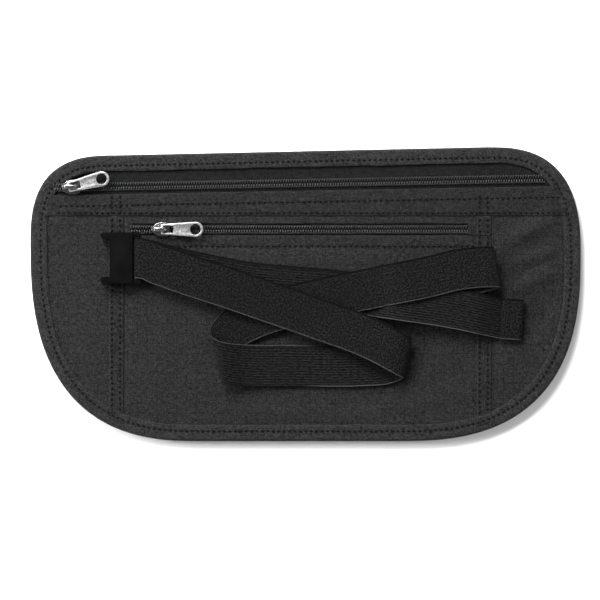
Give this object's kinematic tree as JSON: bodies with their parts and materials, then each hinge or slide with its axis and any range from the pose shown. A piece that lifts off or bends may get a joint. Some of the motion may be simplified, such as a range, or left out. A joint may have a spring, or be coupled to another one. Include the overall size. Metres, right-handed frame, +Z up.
{
  "type": "money belt",
  "caption": "Flat zipped waist pouch lying face up, with its elastic waist strap and side-release buckle folded loosely on top.",
  "frame": {"origin": "centre of the object's box in X and Y, on the surface it lies on", "axes": "+X along the pouch, +Y towards its top edge, +Z up through the front"},
  "size_m": [0.27, 0.1442, 0.0145],
  "materials": {
    "ripstop": "dark grey woven polyester with a faint ripstop grid",
    "edge_tape": "folded twill edge tape with one row of lockstitch",
    "loop_cloth": "woven polyester belt loop",
    "zip_tape": "fine herringbone zip tape",
    "zip_coil": "black nylon coil",
    "nickel": "die-cast zinc with a nickel finish",
    "elastic": "black woven elastic, ribbed on one face",
    "buckle_plastic": "black acetal, lightly textured"
  },
  "bodies": {
    "pouch": {"back_panel": "ripstop", "pocket_lining": "ripstop", "front_panel_left": "ripstop", "front_panel_centre": "ripstop", "front_panel_right": "ripstop", "front_strip": "ripstop", "top_band": "ripstop", "edge_binding": "edge_tape", "belt_loop_left": "loop_cloth", "belt_loop_right": "loop_cloth", "top_zip_tape_upper": "zip_tape", "top_zip_tape_lower": "zip_tape", "top_coil_upper": "zip_coil", "top_coil_lower": "zip_coil", "front_zip_tape_upper": "zip_tape", "front_zip_tape_lower": "zip_tape", "front_coil_upper": "zip_coil", "front_coil_lower": "zip_coil"},
    "top_slider": {"top_slider_body": "nickel", "top_slider_crown": "nickel"},
    "top_tab": {"top_pull_tab": "nickel"},
    "front_slider": {"front_slider_body": "nickel", "front_slider_crown": "nickel"},
    "front_tab": {"front_pull_tab": "nickel"},
    "belt": {"elastic_strap": "elastic", "buckle_plug": "buckle_plastic"},
    "socket": {"buckle_socket": "buckle_plastic"}
  },
  "joints": [
    {"name": "top_slider_slide", "type": "slide", "parent": "pouch", "child": "top_slider", "axis": [0.9998, 0.0181, 0], "range_m": [0, 0.215]},
    {"name": "top_tab_hinge", "type": "hinge", "parent": "top_slider", "child": "top_tab", "pos_m": [-0.11557, 0.05235, 0.0087], "axis": [0.2426, -0.9701, 0], "range_deg": [0, 170]},
    {"name": "front_slider_slide", "type": "slide", "parent": "pouch", "child": "front_slider", "axis": [1, 0, 0], "range_m": [-0.003, 0.143]},
    {"name": "front_tab_hinge", "type": "hinge", "parent": "front_slider", "child": "front_tab", "pos_m": [-0.0701, 0.03165, 0.0087], "axis": [0, -1, 0], "range_deg": [0, 140]},
    {"name": "belt_lift", "type": "slide", "parent": "pouch", "child": "belt", "axis": [0, 0, 1], "range_m": [0, 0.12]},
    {"name": "socket_swing", "type": "hinge", "parent": "belt", "child": "socket", "pos_m": [-0.0817, 0.0176, 0.0095], "axis": [0, 1, 0], "range_deg": [0, 75]}
  ]
}
